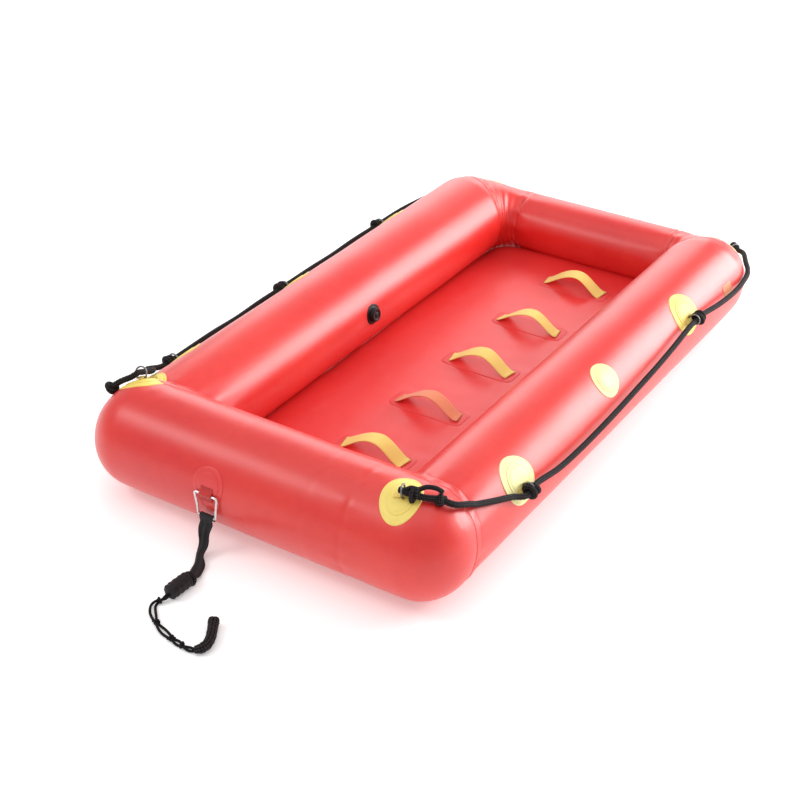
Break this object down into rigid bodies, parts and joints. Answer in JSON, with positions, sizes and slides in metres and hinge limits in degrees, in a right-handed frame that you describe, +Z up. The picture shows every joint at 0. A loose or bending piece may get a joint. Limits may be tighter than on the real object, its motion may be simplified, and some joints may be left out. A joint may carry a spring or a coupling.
{
  "type": "inflatable rescue raft",
  "caption": "Open red inflatable rescue raft: thick air tubes round a flat floor with yellow lifting straps, black grab lines and a short bow tether.",
  "frame": {"origin": "on the ground under the middle of the hull and its rings", "axes": "+Z up, +Y to the stern, -Y to the bow with the towing ring, +X to port"},
  "size_m": [1.2571, 2.4721, 0.3449],
  "materials": {
    "tube_skin": "smooth, softly glossy coated fabric",
    "floor_skin": "smooth coated fabric, flat",
    "patch_skin": "glued coated fabric patch",
    "flange_skin": "dark red glued flange",
    "yellow_web": "woven webbing",
    "yellow_pad": "pale yellow coated fabric",
    "black_rope": "braided rope and webbing",
    "black_plastic": "satin moulding",
    "steel_wire": "bright bent wire",
    "orange_patch": "blank printed patch"
  },
  "bodies": {
    "root": {"tube_bow": "tube_skin", "tube_port": "tube_skin", "tube_starboard": "tube_skin", "tube_stern": "tube_skin", "corner_port": "tube_skin", "corner_starboard": "tube_skin", "floor_panel": "floor_skin", "strap_patch_1": "patch_skin", "strap_1": "yellow_web", "strap_patch_2": "patch_skin", "strap_2": "yellow_web", "strap_patch_3": "patch_skin", "strap_3": "yellow_web", "strap_patch_4": "patch_skin", "strap_4": "yellow_web", "strap_patch_5": "patch_skin", "strap_5": "yellow_web", "pad_port_1": "yellow_pad", "pad_starboard_1": "yellow_pad", "pad_port_2": "yellow_pad", "pad_starboard_2": "yellow_pad", "pad_port_3": "yellow_pad", "pad_starboard_3": "yellow_pad", "pad_port_4": "yellow_pad", "pad_starboard_4": "yellow_pad", "pad_port_5": "yellow_pad", "pad_starboard_5": "yellow_pad", "pad_tab_port_1": "yellow_web", "pad_ring_port_1": "steel_wire", "pad_tab_port_2": "yellow_web", "pad_ring_port_2": "steel_wire", "pad_tab_port_4": "yellow_web", "pad_ring_port_4": "steel_wire", "pad_tab_port_5": "yellow_web", "pad_ring_port_5": "steel_wire", "pad_tab_starboard_1": "yellow_web", "pad_ring_starboard_1": "steel_wire", "pad_tab_starboard_2": "yellow_web", "pad_ring_starboard_2": "steel_wire", "pad_tab_starboard_3": "yellow_web", "pad_ring_starboard_3": "steel_wire", "pad_tab_starboard_4": "yellow_web", "pad_ring_starboard_4": "steel_wire", "pad_tab_starboard_5": "yellow_web", "pad_ring_starboard_5": "steel_wire", "grab_line_port": "black_rope", "grab_line_starboard": "black_rope", "blank_label": "orange_patch", "valve_flange": "flange_skin", "valve_body": "black_plastic", "valve_cap": "black_plastic", "bow_patch": "patch_skin", "bow_tab": "patch_skin", "bow_ring": "steel_wire", "tether_strap": "black_rope", "tether_toggle": "black_rope", "tether_cord": "black_rope", "tether_end": "black_rope"}
  },
  "joints": []
}
